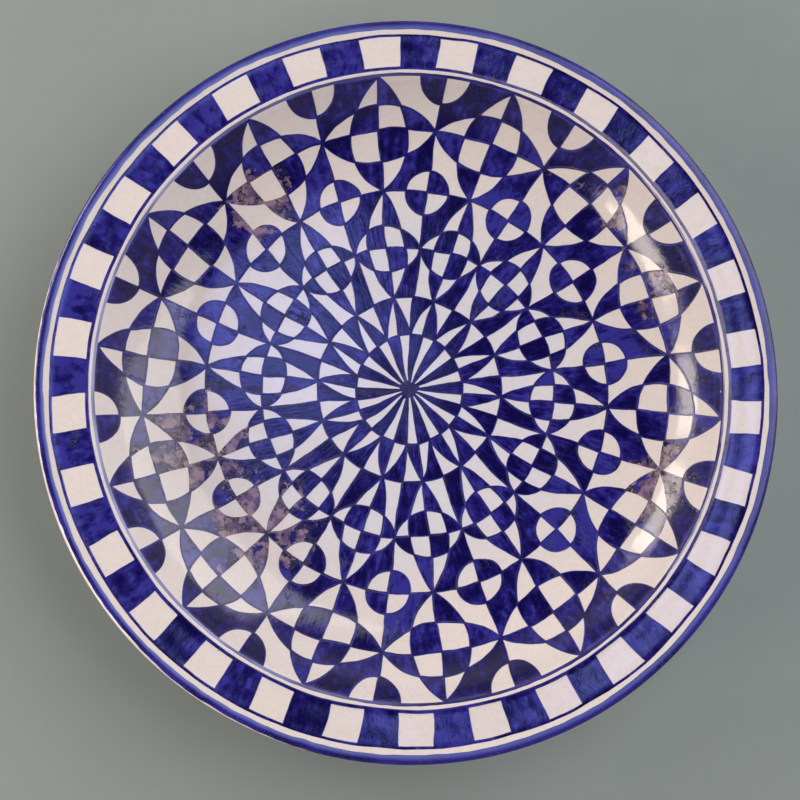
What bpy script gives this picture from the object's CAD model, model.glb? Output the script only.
"""The looks of a large hand-painted ceramic serving dish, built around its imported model.

Shapes are worked out in millimetres and become metres when a mesh is made. The painting is laid out
as a perfect plan, a complex number for each point, and is then put where the painter's hand put it
and draped on the face of the dish, whose well sits a little off the centre of its rim.
"""

import math

import bpy
import numpy as np
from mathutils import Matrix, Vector, kdtree
from mathutils.geometry import delaunay_2d_cdt


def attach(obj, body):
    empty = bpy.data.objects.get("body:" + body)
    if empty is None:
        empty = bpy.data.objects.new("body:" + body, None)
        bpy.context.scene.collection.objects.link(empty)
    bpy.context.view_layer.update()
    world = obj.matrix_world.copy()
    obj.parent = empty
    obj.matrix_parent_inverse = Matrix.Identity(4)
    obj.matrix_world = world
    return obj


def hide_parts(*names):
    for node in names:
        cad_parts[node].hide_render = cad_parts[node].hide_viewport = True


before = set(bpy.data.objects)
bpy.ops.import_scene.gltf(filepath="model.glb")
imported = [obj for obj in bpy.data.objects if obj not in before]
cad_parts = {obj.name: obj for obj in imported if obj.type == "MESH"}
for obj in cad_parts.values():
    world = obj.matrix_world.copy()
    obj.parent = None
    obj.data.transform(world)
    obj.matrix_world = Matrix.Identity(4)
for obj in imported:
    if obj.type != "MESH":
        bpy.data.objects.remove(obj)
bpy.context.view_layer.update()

MM = 0.001

# ---- The dish ----

# The surface as (radius, height): the face from the axis over the lip, then the outside down to
# the foot ring, the bare foot, and the glazed well inside the foot. Outside is to the left.
FACE_KNOTS = [
    (0, 14.2),
    (20, 14.3),
    (42, 15.7),
    (70.8, 18.6),
    (97.4, 21.5),
    (112.5, 24.2),
    (126.3, 29.9),
    (138.0, 38.6),
    (143.6, 44.6),
    (147.4, 49.2),
    (149.8, 51.3),
    (152.4, 51.1),
    (160.0, 51.4),
    (168.0, 51.9),
    (171.4, 52.7),
    (173.6, 52.5),
    (174.9, 51.6),
    (175.1, 50.4),
]
BACK_KNOTS = [
    (175.1, 50.4),
    (174.5, 48.8),
    (172.4, 47.1),
    (163.0, 45.6),
    (152.7, 44.1),
    (144.3, 37.5),
    (132.9, 25.7),
    (117.2, 16.5),
    (98.1, 11.7),
    (87.0, 10.1),
]
FOOT_KNOTS = [
    (86.4, 10.2),
    (85.1, 8.0),
    (84.3, 1.4),
    (83.5, 0.2),
    (82.4, 0.0),
    (76.4, 0.0),
    (75.3, 0.2),
    (74.5, 1.4),
    (73.4, 7.2),
    (72.8, 8.1),
]
WELL_KNOTS = [(72.4, 7.7), (40, 7.6), (0, 7.5)]

GLAZE_DEPTH = 0.45
CLAY_DEPTH = GLAZE_DEPTH + 0.05  # the clay begins just under the glaze
SURFACE_WAVES = 0.16  # how far the surface rises and falls, above the foot
PAINT_LIFT = 0.1  # how far the cobalt stands above the glaze
PAINT_SINK = 0.06
TURN_STEPS = 360
BAND_STEPS = 1080

RIM_RADIUS = 175.0
SHIFT_ENDS = 177.0  # the radius where the well's shift has faded out
WELL_EDGE = 150.0
WELL_SHIFT = 1.25 + 1.9j  # how far the well sits from the rim's centre
# How far the dish was pulled out of round as it dried, as a share of its radius.
OVAL = -0.0043
THREE_LOBES = -0.0024

# ---- The painting: radii from the lip to the centre ----

LIP_BAND_INNER = 170.6
BORDER_OUTER = 168.3
CHECK_OUTER = 167.0
CHECK_INNER = 152.2
BORDER_INNER = 150.6
EDGE_LINE_OUTER = 149.0
FIELD_EDGE = 147.9
OUTER_STAR = 126.3
STAR_MEETING = 97.4
INNER_STAR = 70.8
STARS_BEGIN = 58.0
PETAL_TIP = 44.9
CENTRE = 26.5
BLOB = 4.4  # the small blue blob where the rays run together

SECTORS = 14
SECTOR = 2 * math.pi / SECTORS
STAR_AXIS = math.radians(-5)
HALF_BRUSH = 0.55  # half the width of a painted outline

CHECKS = 29
CHECK_PITCH = 2 * math.pi / CHECKS
FIRST_WHITE_CHECK = math.radians(8.95)
WHITE_HALF = 0.243 * CHECK_PITCH
CHECK_STRAY = 0.0016
CHECK_WIDTH_STRAY = 0.04  # how unevenly wide they are, as a share of their width
CHECK_OUTLINE = 1.0  # how wide the brush line around a blue check is
CHECK_OUTLINE_STRENGTH = 0.5
INNER_BORDER_LINE = (BORDER_INNER + CHECK_INNER) / 2
OUTER_BORDER_LINE = (CHECK_OUTER + BORDER_OUTER) / 2

# ---- The painter's hand ----

HAND_WAVES = [(0.07, 6), (0.2, 17), (0.62, 50)]  # the size and length of the wavering

# How far the painting is turned, in degrees: the mean, then its waves around the dish.
INNER_TURN = (0.0, 0.7, 0.4, -0.4)
OUTER_TURN = (-1.65, 1.5, -0.4)
BORDER_TURN = (0.0, -0.54, -2.01, -0.18, -0.59)
PETAL_TURN = [1.5, 0.65, 0.0]  # more, at the petals' feet and tips and where the stars begin

# How far the rings of the painting are shifted: across and up.
MIDDLE_SHIFT = 0.5j
PETAL_SHIFT = 0.6 + 0.33j
STAR_SHIFT = -0.6 - 1.05j

# How loosely the hand works: radii, and the share of the wavering there.
FIELD_LOOSENESS = ([0, 10, FIELD_EDGE - 14, FIELD_EDGE - 0.5], [0.6, 0.9, 0.9, 0])
BORDER_LOOSENESS = ([151, 156, 165, BORDER_OUTER], [0.25, 0.7, 0.7, 0.4])


# ---- Curves ----


def smooth_line(knots, step):
    """A curve through the knots, with points about a step apart."""
    knots = np.array(knots, float)
    before = knots[1] * (-1, 1) if knots[0][0] == 0 else 2 * knots[0] - knots[1]
    after = knots[-2] * (-1, 1) if knots[-1][0] == 0 else 2 * knots[-1] - knots[-2]
    padded = np.vstack([before, knots, after])
    pieces = []
    for a, b, c, d in zip(padded, padded[1:], padded[2:], padded[3:]):
        ab, bc, cd = (np.linalg.norm(q - p) for p, q in ((a, b), (b, c), (c, d)))
        leaving = (b - a) / ab - (c - a) / (ab + bc) + (c - b) / bc
        arriving = (c - b) / bc - (d - b) / (bc + cd) + (d - c) / cd
        t = np.linspace(0, 1, max(2, round(bc / step)), endpoint=False)[:, None]
        pieces.append(
            (2 * t**3 - 3 * t**2 + 1) * b
            + (t**3 - 2 * t**2 + t) * bc * leaving
            + (3 * t**2 - 2 * t**3) * c
            + (t**3 - t**2) * bc * arriving
        )
    return np.vstack([*pieces, knots[-1:]])


def offset_line(line, distance):
    """The line moved sideways, to the left of its direction."""
    direction = np.gradient(line, axis=0)
    direction /= np.linalg.norm(direction, axis=1)[:, None]
    moved = line + distance * np.stack([-direction[:, 1], direction[:, 0]], 1)
    moved[line[:, 0] == 0, 0] = 0
    return moved


def polar(angle, radius):
    return radius * np.exp(1j * angle)


def circle_through(a, b, c):
    """The centre and radius of the circle through three points."""
    w = (c - a) / (b - a)
    centre = (b - a) * (w - abs(w) ** 2) / (2j * w.imag) + a
    return centre, abs(a - centre)


FACE = smooth_line(FACE_KNOTS, step=0.8)
BACK = smooth_line(BACK_KNOTS, step=1.2)
FOOT = np.maximum(smooth_line(FOOT_KNOTS, step=0.5), 0)
WELL = smooth_line(WELL_KNOTS, step=4.0)
FACE_LENGTH = np.concatenate([[0], np.cumsum(np.linalg.norm(np.diff(FACE, axis=0), axis=1))])
RISING = FACE[:, 0] < 171.5  # the part of the face where the radius still grows steadily


# ---- The hand-made surface ----


def ripple(x, y, wavelength, seed):
    """Smooth, repeatable unevenness of about plus or minus one."""
    rng = np.random.default_rng(seed)
    total = 0
    for _ in range(9):
        heading, phase = rng.uniform(0, 2 * math.pi, 2)
        pace = 2 * math.pi / (wavelength * rng.uniform(0.7, 1.6))
        total = total + np.sin(pace * (x * math.cos(heading) + y * math.sin(heading)) + phase)
    return total / 3


def well_shift(radius):
    return WELL_SHIFT * np.clip((SHIFT_ENDS - radius) / (SHIFT_ENDS - WELL_EDGE), 0, 1)


def settle(angle, radius, height):
    """Where a point of the perfect dish lies on the hand-made one."""
    outwards = radius / RIM_RADIUS
    pulled = OVAL * np.sin(2 * angle) + THREE_LOBES * np.sin(3 * angle + 0.7) * outwards
    plan = polar(angle, radius * (1 + pulled)) + well_shift(radius)
    above_foot = np.clip((height - 1) / 12, 0, 1)
    waves = SURFACE_WAVES * ripple(plan.real, plan.imag, 75, seed=3) * above_foot
    return np.stack([plan.real, plan.imag, height + waves], -1)


def on_face(x, y):
    """The point of the face over each point of the perfect plan."""
    radius = np.hypot(x, y)
    return settle(np.arctan2(y, x), radius, np.interp(radius, FACE[RISING, 0], FACE[RISING, 1]))


def along_face(length, angle):
    """The point of the face at a distance along it from the axis."""
    radius = np.interp(length, FACE_LENGTH, FACE[:, 0])
    return settle(angle, radius, np.interp(length, FACE_LENGTH, FACE[:, 1]))


def normals(surface, u, v, reach_u, reach_v):
    """Unit normals of a surface given as a function of two coordinates."""
    across = surface(u + reach_u, v) - surface(u - reach_u, v)
    along = surface(u, v + reach_v) - surface(u, v - reach_v)
    normal = np.cross(across, along)
    return normal / np.linalg.norm(normal, axis=1)[:, None]


# ---- Meshes ----


def add_piece(mesh, material, node):
    piece = bpy.data.objects.new(mesh.name, mesh)
    bpy.context.scene.collection.objects.link(piece)
    mesh.materials.append(material)
    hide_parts(node)
    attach(piece, "root")


def turned(name, outline):
    """A closed solid of revolution from an outline with its outside on the right."""
    angle = np.linspace(0, 2 * math.pi, TURN_STEPS, endpoint=False)
    points, rows = [], []
    for radius, height in outline:
        count = 1 if radius == 0 else TURN_STEPS
        rows.append(range(len(points), len(points) + count))
        points.extend(settle(angle[:count], np.full(count, radius), np.full(count, height)))
    closing = [] if outline[0][0] == 0 else rows[:1]
    faces = []
    for low, high in zip(rows, rows[1:] + closing):
        for i in range(max(len(low), len(high)) if len(low) + len(high) > 2 else 0):
            j = (i + 1) % TURN_STEPS
            a, b = low[i % len(low)], low[j % len(low)]
            c, d = high[j % len(high)], high[i % len(high)]
            faces.append([a, c, d] if a == b else [a, b, c] if c == d else [a, b, c, d])
    mesh = bpy.data.meshes.new(name)
    mesh.from_pydata(np.array(points) * MM, [], faces)
    mesh.shade_smooth()
    mesh.set_sharp_from_angle(angle=math.radians(40))
    return mesh


def coat(name, line, thinning):
    """A skin of glaze under the line, whose hidden inside has fewer points."""
    inside = offset_line(line, -GLAZE_DEPTH)[::-1]
    kept = np.unique(np.append(np.arange(0, len(inside), thinning), len(inside) - 1))
    return turned(name, np.vstack([line, inside[kept]])[::-1])


def skin(name, points, normal, faces, marks):
    """A thin closed layer of paint on the face. The marks are values that its material reads."""
    count = len(points)
    borders = {}
    for face in faces:
        for a, b in zip(face, face[1:] + face[:1]):
            if borders.pop((b, a), None) is None:
                borders[a, b] = [b, a, a + count, b + count]
    undersides = [[i + count for i in reversed(face)] for face in faces]
    mesh = bpy.data.meshes.new(name)
    layers = np.vstack([points + normal * PAINT_LIFT, points - normal * PAINT_SINK])
    mesh.from_pydata(layers * MM, [], faces + undersides + list(borders.values()))
    mesh.shade_smooth()
    corners = np.empty(len(mesh.loops), np.int32)
    mesh.loops.foreach_get("vertex_index", corners)
    flat = np.empty(len(mesh.polygons) * 3, np.float32)
    mesh.polygons.foreach_get("normal", flat)
    shading = np.vstack([normal, -normal])[corners]
    shading[-4 * len(borders) :] = np.repeat(flat.reshape(-1, 3)[-len(borders) :], 4, axis=0)
    mesh.normals_split_custom_set(shading)
    for mark, values in marks.items():
        if values.ndim == 1:
            layer = mesh.attributes.new(mark, "FLOAT", "POINT")
            layer.data.foreach_set("value", np.tile(values, 2))
        else:
            layer = mesh.attributes.new(mark, "FLOAT_VECTOR", "POINT")
            layer.data.foreach_set("vector", np.tile(values, (2, 1)).ravel())
    return mesh


# ---- Plans of the painting ----

FILL_SPACING = 1.4  # points between the curves are a little wider apart than along them
CLEAR_OF_CURVES = 0.65  # how close they may come to a curve, as a share of the spacing


def point_spacing(radius):
    """How far apart the painting's points are: closer where the face turns sharply."""
    return np.interp(np.abs(radius), [0, 12, 132, 142, 148, 156], [0.7, 1.5, 1.6, 0.9, 0.7, 1.5])


def spaced(curve):
    """The curve, given by many close points, with points at the right spacing."""
    steps = np.abs(np.diff(curve)) / point_spacing((curve[1:] + curve[:-1]) / 2)
    run = np.concatenate([[0], np.cumsum(steps)])
    return np.interp(np.linspace(0, run[-1], math.ceil(run[-1]) + 1), run, curve)


def ring(radius):
    return spaced(polar(np.linspace(0, 2 * math.pi, 4000), radius))


def arc(circle, start, end, offset):
    """The arc of a circle from start to end, moved outwards and run on a little at both ends."""
    centre, radius = circle
    first = np.angle(start - centre)
    sweep = np.angle((end - centre) / (start - centre))
    run_on = math.copysign(HALF_BRUSH / radius, sweep)
    turn = np.linspace(first - run_on, first + sweep + run_on, 500)
    return spaced(centre + polar(turn, radius + offset))


def fill(inner, outer):
    """Points spread evenly between two radii."""
    points, radius = [], outer
    while radius > inner:
        gap = point_spacing(radius) * FILL_SPACING
        count = max(6, round(2 * math.pi * radius / gap))
        points.append(polar(np.arange(count) * 2 * math.pi / count + radius, radius))
        radius -= gap * 0.87
    return np.concatenate(points)


def tiles(curves, inner, outer):
    """Points and triangles that fill the plan between two radii and follow every curve."""
    points, edges = [], []
    for curve in curves:
        first = len(points)
        points.extend(curve)
        edges.extend((i, i + 1) for i in range(first, len(points) - 1))
    near = kdtree.KDTree(len(points))
    for i, point in enumerate(points):
        near.insert((point.real, point.imag, 0), i)
    near.balance()
    for point in fill(inner, outer):
        if near.find((point.real, point.imag, 0))[2] > CLEAR_OF_CURVES * point_spacing(point):
            points.append(point)
    found = delaunay_2d_cdt([Vector((p.real, p.imag)) for p in points], edges, [], 0, 1e-4, False)
    plan = np.array([complex(*p) for p in found[0]])
    return plan, np.array(found[2])


def wander(plan, looseness):
    """How far the painter's hand strays from the plan."""
    strayed = 0
    for i, (amount, length) in enumerate(HAND_WAVES):
        across = ripple(plan.real, plan.imag, length, 11 + i)
        up = ripple(plan.real, plan.imag, length, 31 + i)
        strayed = strayed + amount * (across + 1j * up)
    return looseness * strayed


def around(angle, mean, right, up, right_twice=0.0, up_twice=0.0):
    """A value that changes smoothly around the dish, with one wave and two waves to the turn."""
    once = right * np.cos(angle) + up * np.sin(angle)
    return mean + once + right_twice * np.cos(2 * angle) + up_twice * np.sin(2 * angle)


def paint(name, plan, faces, by_hand, marks):
    """The skin over some of a plan's triangles, placed by hand."""
    used, faces = np.unique(faces, return_inverse=True)
    faces = faces.reshape(-1, 3).tolist()
    placed = by_hand(plan[used])
    x, y = placed.real, placed.imag
    marks = {mark: values[used] for mark, values in marks.items()}
    return skin(name, on_face(x, y), normals(on_face, x, y, 0.3, 0.3), faces, marks)


def borders_of(count, faces, painted):
    """One at each point where the painted triangles end, and zero elsewhere."""
    inside, outside = np.zeros(count), np.zeros(count)
    inside[faces[painted]] = 1
    outside[faces[~painted]] = 1
    return inside * outside


def marks_for(plan, stroke, edge, cell):
    """What the cobalt material reads at each point.

    The stroke mark is one along the middle of a brush line, the edge mark is one where the paint
    ends, the tone is the cell's own, and brush is a place that stretches along the brush's path.
    """
    tones = np.random.default_rng(5).random(4096)
    tone = tones[(cell * 131 + 7) % len(tones)]
    brush = np.stack([np.abs(plan) * 0.3, np.angle(plan) * STAR_MEETING, tone * 90], 1)
    return {"stroke": stroke, "edge": edge, "tone": tone, "brush": brush}


# ---- The painted field ----


class Star:
    """A lens along a star axis crossed by a lens across it. The axis is the real line."""

    def __init__(self, inner_tip, middle, outer_tip, half_angle, cross_inner, cross_outer):
        self.inner_tip, self.outer_tip = inner_tip, outer_tip
        self.side_tip = polar(SECTOR / 2, middle)
        self.along = circle_through(outer_tip, polar(math.radians(half_angle), middle), inner_tip)
        self.outside = circle_through(self.side_tip, cross_outer, self.side_tip.conjugate())
        self.inside = circle_through(self.side_tip, cross_inner, self.side_tip.conjugate())

    def curves(self, offset):
        side = arc(self.along, self.outer_tip, self.inner_tip, offset)
        other_tip = self.side_tip.conjugate()
        across = [arc(c, self.side_tip, other_tip, offset) for c in (self.outside, self.inside)]
        return [side, side.conjugate(), *across]


OUTER_ROW = {"half_angle": 6.2, "cross_inner": 111.9, "cross_outer": 137.0}
INNER_ROW = {"half_angle": 7.2, "cross_inner": 58.8, "cross_outer": 81.4}
STARS = [
    Star(STAR_MEETING, OUTER_STAR, FIELD_EDGE, **OUTER_ROW),
    Star(PETAL_TIP, INNER_STAR, STAR_MEETING, **INNER_ROW),
]
PETAL_FOOT = polar(SECTOR / 2, CENTRE)

# Circles, each a centre and a radius.
PETAL_SIDE = circle_through(PETAL_FOOT, polar(SECTOR / 4, 36.0), PETAL_TIP)
SMALL_CIRCLE = (polar(SECTOR / 2, STAR_MEETING), 10.5)
RIM_CIRCLE = (polar(SECTOR / 2, 149.5), 12.3)

LINE_RINGS = [OUTER_STAR, STAR_MEETING, INNER_STAR, PETAL_TIP, CENTRE]


def beyond(circle, point):
    """How far a point is outside a circle."""
    return np.abs(point - circle[0]) - circle[1]


def whole(circle, offset):
    turn = np.linspace(0, 2 * math.pi, 500)
    return spaced(circle[0] + polar(turn, circle[1] + offset))


def field_curves():
    """The middle and edges of every brush line, and the circles where the painting is parted."""
    curves = [ring(FIELD_EDGE), blob_edge(np.linspace(0, 2 * math.pi, 60))]
    for offset in (-HALF_BRUSH, 0, HALF_BRUSH):
        curves += [ring(radius + offset) for radius in LINE_RINGS]
        petal = arc(PETAL_SIDE, PETAL_FOOT, PETAL_TIP, offset)
        outwards = np.linspace(BLOB - 1, FIELD_EDGE + 1, 2000)
        spoke = spaced(outwards + 1j * offset * spoke_strength(outwards))
        one_sector = [spoke, spoke * polar(SECTOR / 2, 1), petal, petal.conjugate()]
        one_sector += [curve for star in STARS for curve in star.curves(offset)]
        one_sector += [whole(circle, offset) for circle in (SMALL_CIRCLE, RIM_CIRCLE)]
        axes = polar(STAR_AXIS + SECTOR * np.arange(SECTORS), 1)
        curves += [curve * axis for axis in axes for curve in one_sector]
    return curves


def spoke_strength(radius):
    """The star axes are drawn finer towards the centre."""
    return np.interp(radius, [4, 20], [0.4, 1])


def blob_edge(angle):
    """The outline of the blob where all the star axes run together."""
    return polar(angle, BLOB * (1 + 0.12 * np.sin(3 * angle + 1) + 0.09 * np.sin(5 * angle)))


def read_field(plan):
    """For each point: how far from a brush line it is, whether it is blue, and in which cell."""
    radius = np.abs(plan)
    turn = np.angle(plan) - STAR_AXIS + SECTOR / 2
    sector = np.floor(turn / SECTOR).astype(int)
    turn = turn - sector * SECTOR - SECTOR / 2
    half = polar(np.abs(turn), radius)  # the sector folded along its star axis
    regions = [turn > 0]
    swapped_rings = ((STAR_MEETING, OUTER_STAR), (PETAL_TIP, INNER_STAR))
    regions += [(radius > low) & (radius < high) for low, high in swapped_rings]
    spokes = [half.imag, radius * np.sin(SECTOR / 2 - np.abs(turn))]
    line_distances = [distance / spoke_strength(radius) for distance in spokes]
    line_distances += [np.abs(radius - line) for line in LINE_RINGS]
    for star in STARS:
        within = (radius > star.inner_tip) & (radius < star.outer_tip)
        along, outside, inside = (beyond(c, half) for c in (star.along, star.outside, star.inside))
        regions += [within & (along < 0), (outside < 0) & (inside < 0)]
        line_distances.append(np.where(within, np.abs(along), np.inf))
        line_distances.append(np.where(inside < 1, np.abs(outside), np.inf))
        line_distances.append(np.where(outside < 1, np.abs(inside), np.inf))
    in_petals = (radius > CENTRE) & (radius < PETAL_TIP)
    petal_side = beyond(PETAL_SIDE, half)
    regions.append(in_petals & (petal_side * beyond(PETAL_SIDE, CENTRE + 2) > 0))
    line_distances.append(np.where(in_petals, np.abs(petal_side), np.inf))
    for circle in (SMALL_CIRCLE, RIM_CIRCLE):
        regions.append(beyond(circle, half) < 0)
        line_distances.append(np.abs(beyond(circle, half)))
    from_line = np.min(line_distances, axis=0)
    from_line[radius < np.abs(blob_edge(np.angle(plan)))] = 0
    blue = np.logical_xor.reduce(regions)
    cell = (sector % SECTORS) * 2048 + np.dot(2 ** np.arange(len(regions)), regions)
    return from_line, blue, cell


def paint_field(material):
    plan, faces = tiles(field_curves(), 0, FIELD_EDGE)
    middle = plan[faces].mean(axis=1)
    from_line, blue, _ = read_field(middle)
    painted = ((from_line < HALF_BRUSH) | blue) & (np.abs(middle) < FIELD_EDGE)
    from_line, _, cell = read_field(plan)

    def by_hand(points):
        angle, radius = np.angle(points), np.abs(points)
        outwards = np.clip((radius - INNER_STAR) / (FIELD_EDGE - INNER_STAR), 0, 1)
        turn = around(angle, *INNER_TURN) * (1 - outwards) + around(angle, *OUTER_TURN) * outwards
        turn += np.interp(radius, [CENTRE, PETAL_TIP, STARS_BEGIN], PETAL_TURN)
        petals = np.interp(radius, [0, CENTRE, PETAL_TIP, STARS_BEGIN], [0, 1, 1, 0])
        stars = np.interp(radius, [PETAL_TIP, STARS_BEGIN, OUTER_STAR, FIELD_EDGE], [0, 1, 1, 0])
        shift = petals * PETAL_SHIFT + stars * STAR_SHIFT
        heading = polar(angle, 1)
        moved = points * polar(np.radians(turn), 1) + heading * (shift * heading.conjugate()).real
        moved += np.interp(radius, [0, CENTRE], [1, 0]) * MIDDLE_SHIFT
        return moved + wander(points, np.interp(radius, *FIELD_LOOSENESS))

    rings = [
        ("centre_star", 0, CENTRE),
        ("petal_ring", CENTRE, PETAL_TIP),
        ("inner_star_ring", PETAL_TIP, STAR_MEETING),
        ("outer_star_ring", STAR_MEETING, FIELD_EDGE),
    ]
    stroke = np.clip(1 - from_line / HALF_BRUSH, 0, 1)
    marks = marks_for(plan, stroke, borders_of(len(plan), faces, painted), cell)
    for node, inner, outer in rings:
        here = painted & (np.abs(middle) > inner) & (np.abs(middle) < outer)
        mesh = paint("painted_" + node, plan, faces[here], by_hand, marks)
        add_piece(mesh, material, node)


# ---- The painted border ----


def white_checks():
    """Each white check's middle and half width, at its inner and outer edges."""
    rng = np.random.default_rng(8)
    planned = FIRST_WHITE_CHECK + CHECK_PITCH * np.arange(CHECKS)[:, None]
    middle = planned + rng.normal(0, CHECK_STRAY, (CHECKS, 2))
    return middle, WHITE_HALF * (1 + rng.normal(0, CHECK_WIDTH_STRAY, (CHECKS, 2)))


def read_border(plan):
    """For each point: the nearest white check's number, and how far past its edge the point is."""
    middle, half_width = white_checks()
    angle, radius = np.angle(plan) % (2 * math.pi), np.abs(plan)
    number = np.round((angle - FIRST_WHITE_CHECK) / CHECK_PITCH).astype(int)
    turn = angle - number * CHECK_PITCH
    number %= CHECKS
    outwards = (radius - CHECK_INNER) / (CHECK_OUTER - CHECK_INNER)
    middle = (middle - CHECK_PITCH * np.arange(CHECKS)[:, None])[number]
    middle = middle[:, 0] + (middle[:, 1] - middle[:, 0]) * outwards
    half_width = half_width[number, 0] + (half_width[number, 1] - half_width[number, 0]) * outwards
    return number, radius * (np.abs(turn - middle) - half_width)


def border_curves():
    lines = (BORDER_INNER, INNER_BORDER_LINE, CHECK_INNER)
    lines += (CHECK_OUTER, OUTER_BORDER_LINE, BORDER_OUTER)
    curves = [ring(radius) for radius in lines]
    outwards = np.linspace(0, 1, 200)
    radius = CHECK_INNER + (CHECK_OUTER - CHECK_INNER) * outwards
    for middle, half_width in zip(*white_checks()):
        for side in (-1, 1):
            for outline in (0, CHECK_OUTLINE / 2, CHECK_OUTLINE):
                turn = (middle + side * half_width) @ [1 - outwards, outwards]
                curves.append(spaced(polar(turn + side * outline / radius, radius)))
    return curves


def paint_border(material):
    plan, faces = tiles(border_curves(), BORDER_INNER, BORDER_OUTER)
    middle = plan[faces].mean(axis=1)
    radius = np.abs(middle)
    between = (radius > CHECK_INNER) & (radius < CHECK_OUTER)
    white = between & (read_border(middle)[1] < 0)
    painted = (radius > BORDER_INNER) & (radius < BORDER_OUTER) & ~white
    number, past_edge = read_border(plan)
    radius = np.abs(plan)
    check_side = np.abs(past_edge / CHECK_OUTLINE * 2 - 1)
    check_side[(radius < CHECK_INNER) | (radius > CHECK_OUTER)] = 1
    inner_line = np.abs(radius - INNER_BORDER_LINE) / (INNER_BORDER_LINE - BORDER_INNER)
    outer_line = np.abs(radius - OUTER_BORDER_LINE) / (BORDER_OUTER - OUTER_BORDER_LINE)
    stroke = 1 - np.clip(np.min([check_side, inner_line, outer_line], axis=0), 0, 1)
    clockwise = np.angle(plan * polar(-FIRST_WHITE_CHECK - CHECK_PITCH * number, 1)) < 0
    blue_check = (number - clockwise) % CHECKS

    def by_hand(points):
        angle, radius = np.angle(points), np.abs(points)
        turned_by = np.radians(around(angle, *BORDER_TURN))
        strayed = wander(points, np.interp(radius, *BORDER_LOOSENESS))
        tangent = polar(angle, 1j)
        sideways = well_shift(radius) * tangent.conjugate()
        moved = points * polar(turned_by, 1) + strayed
        return moved - sideways.real * tangent  # the checks point at the rim's centre

    stroke *= CHECK_OUTLINE_STRENGTH
    marks = marks_for(plan, stroke, borders_of(len(plan), faces, painted), blue_check)
    mesh = paint("painted_border", plan, faces[painted], by_hand, marks)
    add_piece(mesh, material, "border_check_band")


# ---- Painted bands ----

LIP_MARGIN = 0.15  # how far the lip band stays inside the end of the face
WORN_SIDE = math.radians(205)
WORN_BACK = 2.4  # how much further it stops short at its worn side
EDGE_LINE_GAP = 0.02  # keeps the edge line just clear of the field
EDGE_LINE_SPREAD = 0.2  # how far the edge line has spread past its planned width


def band(name, inner_edge, outer_edge, rows):
    """A painted ring between two edges, each a distance along the face for every angle."""
    count = BAND_STEPS
    angle = np.linspace(0, 2 * math.pi, count, endpoint=False)
    share = np.linspace(0, 1, rows)[:, None]
    length = (inner_edge(angle) * (1 - share) + outer_edge(angle) * share).ravel()
    angle = np.tile(angle, rows)
    faces = []
    for row in range(rows - 1):
        for i in range(count):
            a, b = row * count + i, row * count + (i + 1) % count
            faces.append([a, a + count, b + count, b])
    inwards = 1 - np.repeat(share, count)
    points = along_face(length, angle)
    marks = {"inwards": inwards, "tone": 0.5 + 0.5 * ripple(points[:, 0], points[:, 1], 40, 77)}
    return skin(name, points, normals(along_face, length, angle, 0.2, 0.002), faces, marks)


def length_at(radius):
    return np.interp(radius, FACE[:, 0], FACE_LENGTH)


def wobble(angle, amount, seed):
    """How uneven an edge is, around the dish."""
    x, y = RIM_RADIUS * np.cos(angle), RIM_RADIUS * np.sin(angle)
    return amount * (0.6 * ripple(x, y, 45, seed) + 0.4 * ripple(x, y, 9, seed + 1))


def lip_inner(angle):
    return length_at(LIP_BAND_INNER) + wobble(angle, 0.3, 51)


def lip_outer(angle):
    """The lip band stops short of the lip's edge at one side, where the glaze has run thin."""
    worn = np.clip(1.6 * np.cos(angle - WORN_SIDE) - 0.6, 0, 1)
    uneven = wobble(angle, 0.4, 61) * np.clip(worn * 6, 0, 1)
    return FACE_LENGTH[-1] - LIP_MARGIN - WORN_BACK * worn + uneven


def edge_line_inner(angle):
    return np.full(len(angle), length_at(FIELD_EDGE) + EDGE_LINE_GAP)


def edge_line_outer(angle):
    return length_at(EDGE_LINE_OUTER) + EDGE_LINE_SPREAD + wobble(angle, 0.2, 81)


# ---- Materials ----

DEEP_BLUE = (0.0025, 0.0005, 0.058, 1)
MIDDLE_BLUE = (0.011, 0.006, 0.135, 1)
CLEAR_BLUE = (0.036, 0.032, 0.29, 1)
OUTLINE_BLUE = (0.004, 0.0015, 0.075, 1)
FRINGE_BLUE = (0.085, 0.085, 0.44, 1)
SCORCHED_MAUVE = (0.32, 0.215, 0.27, 1)
SCORCHED_PURPLE = (0.12, 0.07, 0.16, 1)
CRUST_BLACK = (0.004, 0.001, 0.012, 1)

# Where the cobalt went on too thick and fired mauve: across, up and reach.
SCORCHED_PLACES = [
    (-100, -26, 38),
    (-70, -62, 38),
    (-72, 92, 26),
    (104, 92, 24),
    (128, 52, 26),
    (122, -42, 28),
    (152, 58, 14),
]
MEAN_FACE_HEIGHT = 25

BUMP_DEPTH = 0.35
GLAZE_IOR = 1.48
COBALT_IOR = 1.62  # the thick cobalt glaze is denser, so it shines more
LINE_IOR = 1.52


def new_material(name):
    material = bpy.data.materials.new(name)
    material.use_nodes = True
    return material, material.node_tree


def add_node(tree, kind, inputs, **settings):
    made = tree.nodes.new(kind)
    for key, value in settings.items():
        setattr(made, key, value)
    for socket, value in inputs.items():
        if isinstance(value, bpy.types.NodeSocket):
            tree.links.new(value, made.inputs[socket])
        else:
            made.inputs[socket].default_value = value
    return made


def millimetres(tree):
    place = add_node(tree, "ShaderNodeTexCoord", {}).outputs["Object"]
    scaled = add_node(tree, "ShaderNodeVectorMath", {0: place, "Scale": 1 / MM}, operation="SCALE")
    return scaled.outputs[0]


def mark(tree, name, output="Fac"):
    return add_node(tree, "ShaderNodeAttribute", {}, attribute_name=name).outputs[output]


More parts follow.
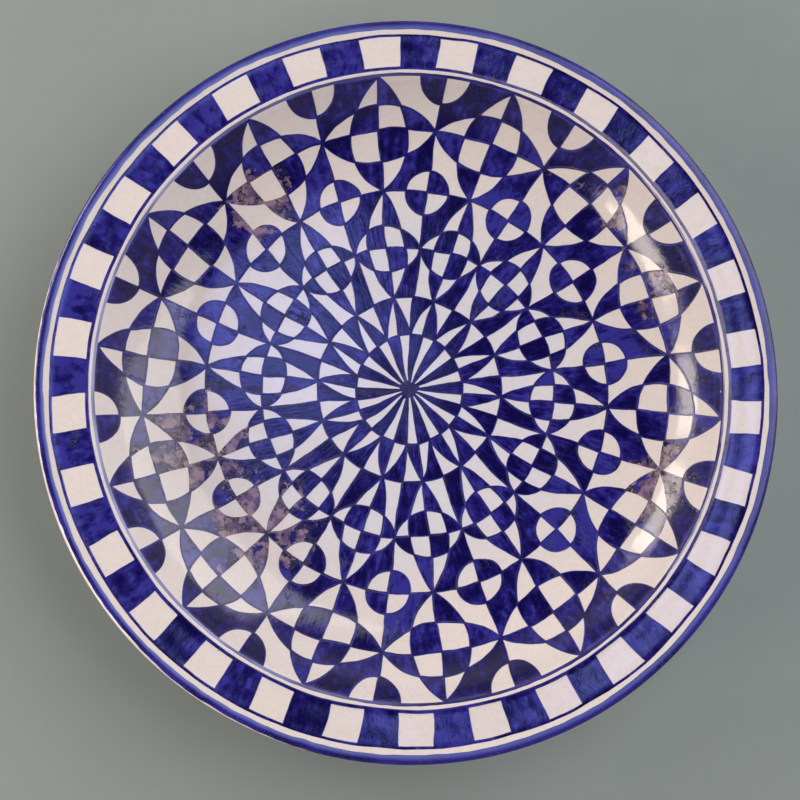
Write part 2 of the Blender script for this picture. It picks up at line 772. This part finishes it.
def noise(tree, vector, wavelength, detail=2.0, roughness=0.5):
    """Noise from 0 to 1 with features about a wavelength across."""
    inputs = {"Vector": vector, "Scale": 1 / wavelength, "Detail": detail, "Roughness": roughness}
    return add_node(tree, "ShaderNodeTexNoise", inputs).outputs["Fac"]


def ramp(tree, value, low, high, to_low=0.0, to_high=1.0):
    """The value taken from one range to another, and held within it."""
    inputs = {"Value": value, "From Min": low, "From Max": high}
    inputs |= {"To Min": to_low, "To Max": to_high}
    return add_node(tree, "ShaderNodeMapRange", inputs, interpolation_type="SMOOTHSTEP").outputs[0]


def maths(tree, operation, a, b):
    return add_node(tree, "ShaderNodeMath", {0: a, 1: b}, operation=operation).outputs[0]


def away_from(tree, place, other):
    """How far a place is from another."""
    made = add_node(tree, "ShaderNodeVectorMath", {0: place, 1: other}, operation="DISTANCE")
    return made.outputs["Value"]


def part_of(tree, vector, axis):
    """One coordinate of a vector: 0, 1 and 2 are x, y and z."""
    return add_node(tree, "ShaderNodeSeparateXYZ", {0: vector}).outputs[axis]


def mix(tree, share, a, b):
    """A blend of two colours."""
    made = add_node(tree, "ShaderNodeMix", {0: share, 6: a, 7: b}, data_type="RGBA")
    return made.outputs[2]


def bump(tree, height, distance):
    """A bump whose height is in millimetres."""
    inputs = {"Height": height, "Distance": distance * MM, "Strength": 1.0}
    return add_node(tree, "ShaderNodeBump", inputs).outputs[0]


def set_surface(tree, inputs):
    shader = tree.nodes["Principled BSDF"]
    for socket, value in inputs.items():
        if isinstance(value, bpy.types.NodeSocket):
            tree.links.new(value, shader.inputs[socket])
        else:
            shader.inputs[socket].default_value = value


def specks(tree, place, spacing, size, share):
    """One where a small round speck is, for a share of the points spread about a spacing apart."""
    cells = add_node(tree, "ShaderNodeTexVoronoi", {"Vector": place, "Scale": 1 / spacing})
    near = ramp(tree, cells.outputs["Distance"], size / spacing, 0.4 * size / spacing)
    chance = add_node(tree, "ShaderNodeSeparateColor", {0: cells.outputs["Color"]}).outputs[0]
    return maths(tree, "MULTIPLY", near, maths(tree, "LESS_THAN", chance, share))


def weighted(tree, *terms):
    """The sum of some values, each times its weight."""
    total = 0.0
    for value, weight in terms:
        inputs = {0: value, 1: weight, 2: total}
        total = add_node(tree, "ShaderNodeMath", inputs, operation="MULTIPLY_ADD").outputs[0]
    return total


def glaze_waves(tree, place):
    """The height of the fired glaze: slow waves under a fine orange peel."""
    return weighted(tree, (noise(tree, place, 22, 2), 1.0), (noise(tree, place, 3.5, 2), 0.12))


def scorched(tree, place):
    """From 0 to 1, how near a point is to the places where the thick cobalt has fired mauve."""
    strongest = 0.0
    for x, y, reach in SCORCHED_PLACES:
        away = away_from(tree, place, (x, y, MEAN_FACE_HEIGHT))
        strongest = maths(tree, "MAXIMUM", strongest, ramp(tree, away, reach, reach * 0.3))
    return strongest


def veins(tree, place, wavelength, width):
    """Thin crooked lines, where noise crosses its middle value."""
    height = noise(tree, place, wavelength, 4, 0.7)
    from_middle = maths(tree, "ABSOLUTE", maths(tree, "SUBTRACT", height, 0.5), 0)
    return ramp(tree, from_middle, width, width * 0.5)


def cobalt_material():
    material, tree = new_material("cobalt_brushwork")
    place, brush = millimetres(tree), mark(tree, "brush", "Vector")
    tone, stroke, edge = mark(tree, "tone"), mark(tree, "stroke"), mark(tree, "edge")
    streaks = noise(tree, brush, 2.4, 3, 0.6)
    clouds = noise(tree, place, 15, 3)
    blots = noise(tree, place, 5, 4, 0.6)
    thinness = weighted(tree, (streaks, 0.8), (clouds, 0.7), (blots, 0.7), (tone, 0.3))
    wash = mix(tree, ramp(tree, thinness, 1.07, 1.25), DEEP_BLUE, MIDDLE_BLUE)
    wash = mix(tree, ramp(tree, thinness, 1.22, 1.45), wash, CLEAR_BLUE)
    grain = noise(tree, place, 0.9, 4, 0.7)
    wash = mix(tree, ramp(tree, grain, 0.56, 0.76, 0, 0.5), wash, (0.045, 0.045, 0.36, 1))
    outline = ramp(tree, noise(tree, place, 6, 2), 0.35, 0.65, 0.15, 0.7)
    painted = mix(tree, maths(tree, "MULTIPLY", stroke, outline), wash, OUTLINE_BLUE)
    fringe = ramp(tree, noise(tree, place, 4, 3), 0.35, 0.65, 0.3, 0.8)
    painted = mix(tree, maths(tree, "MULTIPLY", edge, fringe), painted, FRINGE_BLUE)

    scorch = scorched(tree, place)
    blotches = weighted(tree, (noise(tree, place, 11, 8, 0.66), 1.15), (scorch, 0.25), (tone, 0.08))
    allowed = ramp(tree, scorch, 0, 0.2, 0, 0.9)
    mauve = maths(tree, "MULTIPLY", ramp(tree, blotches, 0.79, 0.83), allowed)
    paler = ramp(tree, noise(tree, place, 5, 4), 0.4, 0.6)
    scorched_colour = mix(tree, paler, SCORCHED_PURPLE, SCORCHED_MAUVE)
    crust = maths(tree, "MULTIPLY", veins(tree, place, 5.5, 0.05), ramp(tree, blotches, 0.64, 0.78))
    crust = maths(tree, "MULTIPLY", crust, ramp(tree, noise(tree, place, 7, 3), 0.44, 0.54))
    painted = mix(tree, mauve, painted, scorched_colour)
    painted = mix(tree, maths(tree, "MULTIPLY", crust, 0.9), painted, CRUST_BLACK)
    waves = glaze_waves(tree, place)
    height = weighted(tree, (waves, 1), (streaks, 0.22), (grain, 0.09), (crust, -0.2))
    dullness = ramp(tree, grain, 0.4, 0.75)
    surface = {
        "Base Color": painted,
        "Roughness": weighted(tree, (dullness, 0.05), (mauve, 0.15), (0.08, 1)),
        "Normal": bump(tree, height, BUMP_DEPTH),
        "IOR": COBALT_IOR,
    }
    set_surface(tree, surface)
    return material


def lip_material():
    material, tree = new_material("cobalt_lip_band")
    place, tone, inwards = millimetres(tree), mark(tree, "tone"), mark(tree, "inwards")
    grain = noise(tree, place, 1.2, 4, 0.75)
    dark = mix(tree, ramp(tree, tone, 0.2, 0.8), MIDDLE_BLUE, (0.028, 0.018, 0.25, 1))
    mottled = mix(tree, ramp(tree, grain, 0.5, 0.7, 0, 0.6), dark, (0.09, 0.08, 0.36, 1))
    leftwards = ramp(tree, part_of(tree, place, 0), 90, -120, 0.55, 0.95)
    fringe = maths(tree, "MULTIPLY", ramp(tree, inwards, 0.42, 0.92), leftwards)
    painted = mix(tree, fringe, mottled, (0.14, 0.18, 0.49, 1))
    height = weighted(tree, (glaze_waves(tree, place), 1), (grain, 0.12))
    surface = {
        "Base Color": painted,
        "Roughness": ramp(tree, grain, 0.3, 0.7, 0.10, 0.26),
        "Normal": bump(tree, height, BUMP_DEPTH),
        "IOR": LINE_IOR,
    }
    set_surface(tree, surface)
    return material


def edge_line_material():
    material, tree = new_material("pale_cobalt_line")
    place, tone = millimetres(tree), mark(tree, "tone")
    strength = noise(tree, place, 14, 3)
    thin = ramp(tree, strength, 0.35, 0.65)
    painted = mix(tree, thin, (0.012, 0.008, 0.13, 1), (0.035, 0.03, 0.25, 1))
    leftwards = ramp(tree, part_of(tree, place, 0), 30, -120)
    worn = maths(tree, "MULTIPLY", leftwards, ramp(tree, tone, 0.1, 0.7, 0.5, 1))
    painted = mix(tree, worn, painted, (0.33, 0.36, 0.60, 1))
    surface = {
        "Base Color": painted,
        "Roughness": ramp(tree, strength, 0.3, 0.7, 0.10, 0.18),
        "Normal": bump(tree, glaze_waves(tree, place), BUMP_DEPTH),
        "IOR": LINE_IOR,
    }
    set_surface(tree, surface)
    return material


def white_glaze_material():
    material, tree = new_material("warm_white_glaze")
    place = millimetres(tree)
    from_axis = away_from(tree, place, (0, 0, 0))
    outwards = weighted(tree, (noise(tree, place, 38, 3), 60), (from_axis, 1))
    warmth = ramp(tree, outwards, 95, 150)
    body = mix(tree, warmth, (0.735, 0.73, 0.79, 1), (0.82, 0.75, 0.712, 1))
    fine = ramp(tree, noise(tree, place, 2.4, 4, 0.7), 0.35, 0.7, 0, 0.3)
    body = mix(tree, fine, body, (0.66, 0.58, 0.57, 1))
    dots = specks(tree, place, 9, 0.34, 0.16)
    body = mix(tree, dots, body, (0.10, 0.06, 0.05, 1))
    pinholes = specks(tree, place, 5, 0.30, 0.10)
    body = mix(tree, pinholes, body, (0.42, 0.34, 0.27, 1))
    height = weighted(tree, (glaze_waves(tree, place), 1), (pinholes, -0.5))
    surface = {
        "Base Color": body,
        "Roughness": ramp(tree, fine, 0, 0.3, 0.08, 0.14),
        "Normal": bump(tree, height, BUMP_DEPTH),
        "IOR": GLAZE_IOR,
    }
    set_surface(tree, surface)
    return material


def clay_material():
    material, tree = new_material("bare_fired_clay")
    place = millimetres(tree)
    around_foot = {0: place, 1: (0.15, 0.15, 1)}
    squash = add_node(tree, "ShaderNodeVectorMath", around_foot, operation="MULTIPLY")
    throwing = noise(tree, squash.outputs[0], 2.5, 3)
    grain = noise(tree, place, 0.8, 5, 0.7)
    ridges = ramp(tree, throwing, 0.3, 0.7)
    body = mix(tree, ridges, (0.42, 0.26, 0.14, 1), (0.52, 0.35, 0.21, 1))
    body = mix(tree, ramp(tree, grain, 0.55, 0.75, 0, 0.6), body, (0.24, 0.13, 0.07, 1))
    surface = {
        "Base Color": body,
        "Roughness": ramp(tree, grain, 0.3, 0.7, 0.75, 0.95),
        "Normal": bump(tree, weighted(tree, (throwing, 0.6), (grain, 0.4)), 0.4),
    }
    set_surface(tree, surface)
    return material


def floor_material():
    material, tree = new_material("pale_floor")
    place = millimetres(tree)
    clouds = ramp(tree, noise(tree, place, 140, 4), 0.3, 0.7)
    body = mix(tree, clouds, (0.272, 0.318, 0.302, 1), (0.284, 0.330, 0.312, 1))
    surface = {
        "Base Color": body,
        "Roughness": ramp(tree, noise(tree, place, 12, 3), 0.3, 0.7, 0.55, 0.7),
    }
    set_surface(tree, surface)
    return material


# ---- The pieces ----

cobalt = cobalt_material()
white_glaze = white_glaze_material()

clay_outline = np.vstack(
    [
        offset_line(FACE, -CLAY_DEPTH)[::3],
        offset_line(BACK, -CLAY_DEPTH)[1:],
        FOOT,
        offset_line(WELL, -CLAY_DEPTH),
    ]
)
add_piece(turned("thrown_body", clay_outline[::-1]), clay_material(), "clay_body")
face_coat = coat("glaze_over_face", FACE, thinning=5)
back_coat = coat("glaze_over_back", BACK, thinning=2)
foot_coat = coat("glaze_in_foot", WELL, thinning=2)
add_piece(face_coat, white_glaze, "face_glaze")
add_piece(back_coat, white_glaze, "back_glaze")
add_piece(foot_coat, white_glaze, "foot_well_glaze")

paint_field(cobalt)
paint_border(cobalt)
lip_band = band("painted_lip", lip_inner, lip_outer, rows=12)
add_piece(lip_band, lip_material(), "lip_band")
edge_line = band("painted_edge_line", edge_line_inner, edge_line_outer, rows=4)
add_piece(edge_line, edge_line_material(), "field_edge_line")


# ---- Floor, light and camera ----

# Soft bright patches of the room overhead: the way to each, its radius and its colour.
ROOM_PATCHES = [
    ((0.30, 0.24, 1), 0.16, (0.70, 0.50, 0.60, 1)),
    ((0.136, -0.05, 1), 0.15, (1.25, 1.5, 4.0, 1)),
]
FLOOR_REACH = 1.6
KEY_TINT = (1.0, 0.97, 0.95)
WINDOW_TINT = (1.0, 0.89, 0.78)


def add_floor():
    steps = 12
    side = np.linspace(-FLOOR_REACH, FLOOR_REACH, steps + 1)
    points = [(x, y, 0) for y in side for x in side]
    rows = range(steps * (steps + 1))
    faces = [(i, i + 1, i + steps + 2, i + steps + 1) for i in rows if (i + 1) % (steps + 1)]
    mesh = bpy.data.meshes.new("floor")
    mesh.from_pydata(points, [], faces)
    mesh.materials.append(floor_material())
    floor = bpy.data.objects.new("floor", mesh)
    bpy.context.scene.collection.objects.link(floor)


def add_light(name, place, size, power, tint):
    """A soft square light that faces the dish."""
    light = bpy.data.lights.new(name, "AREA")
    light.shape = "SQUARE"
    light.size = size
    light.energy = power
    light.color = tint
    lamp = bpy.data.objects.new(name, light)
    lamp.location = place
    lamp.rotation_euler = (-Vector(place)).to_track_quat("-Z", "Y").to_euler()
    bpy.context.scene.collection.objects.link(lamp)


def add_world():
    """A room that is dim overhead, with a soft patch of bluish sky and a fainter warm one."""
    world = bpy.data.worlds.new("room")
    world.use_nodes = True
    bpy.context.scene.world = world
    tree = world.node_tree
    heading = add_node(tree, "ShaderNodeTexCoord", {}).outputs["Generated"]
    far_side = ramp(tree, part_of(tree, heading, 1), -0.8, 0.1)
    sides = mix(tree, far_side, (0.26, 0.23, 0.22, 1), (0.62, 0.57, 0.55, 1))
    overhead = ramp(tree, part_of(tree, heading, 2), 0.12, 0.75)
    room = mix(tree, overhead, sides, (0.05, 0.05, 0.06, 1))
    for patch, radius, tint in ROOM_PATCHES:
        away = away_from(tree, heading, Vector(patch).normalized())
        room = mix(tree, ramp(tree, away, radius, radius * 0.35), room, tint)
    tree.links.new(room, tree.nodes["Background"].inputs["Color"])


def add_camera():
    """Almost straight above the rim's centre, one metre over the rim."""
    camera = bpy.data.cameras.new("camera")
    camera.sensor_width = 36
    camera.lens = 95.8
    viewer = bpy.data.objects.new("camera", camera)
    viewer.location = (-0.0028, -0.0028, 1.053)
    bpy.context.scene.collection.objects.link(viewer)
    bpy.context.scene.camera = viewer


add_floor()
add_light("key", (1.45, 0.65, 1.5), size=2.3, power=43, tint=KEY_TINT)
add_light("upper_left_window", (-1.15, 0.55, 0.60), size=0.45, power=5.8, tint=WINDOW_TINT)
add_light("left_window", (-1.25, 0.0, 0.56), size=0.4, power=4, tint=WINDOW_TINT)
add_light("lower_left_window", (-1.05, -0.62, 0.60), size=0.45, power=5.8, tint=WINDOW_TINT)
add_world()
add_camera()
bpy.context.scene.view_settings.view_transform = "Standard"
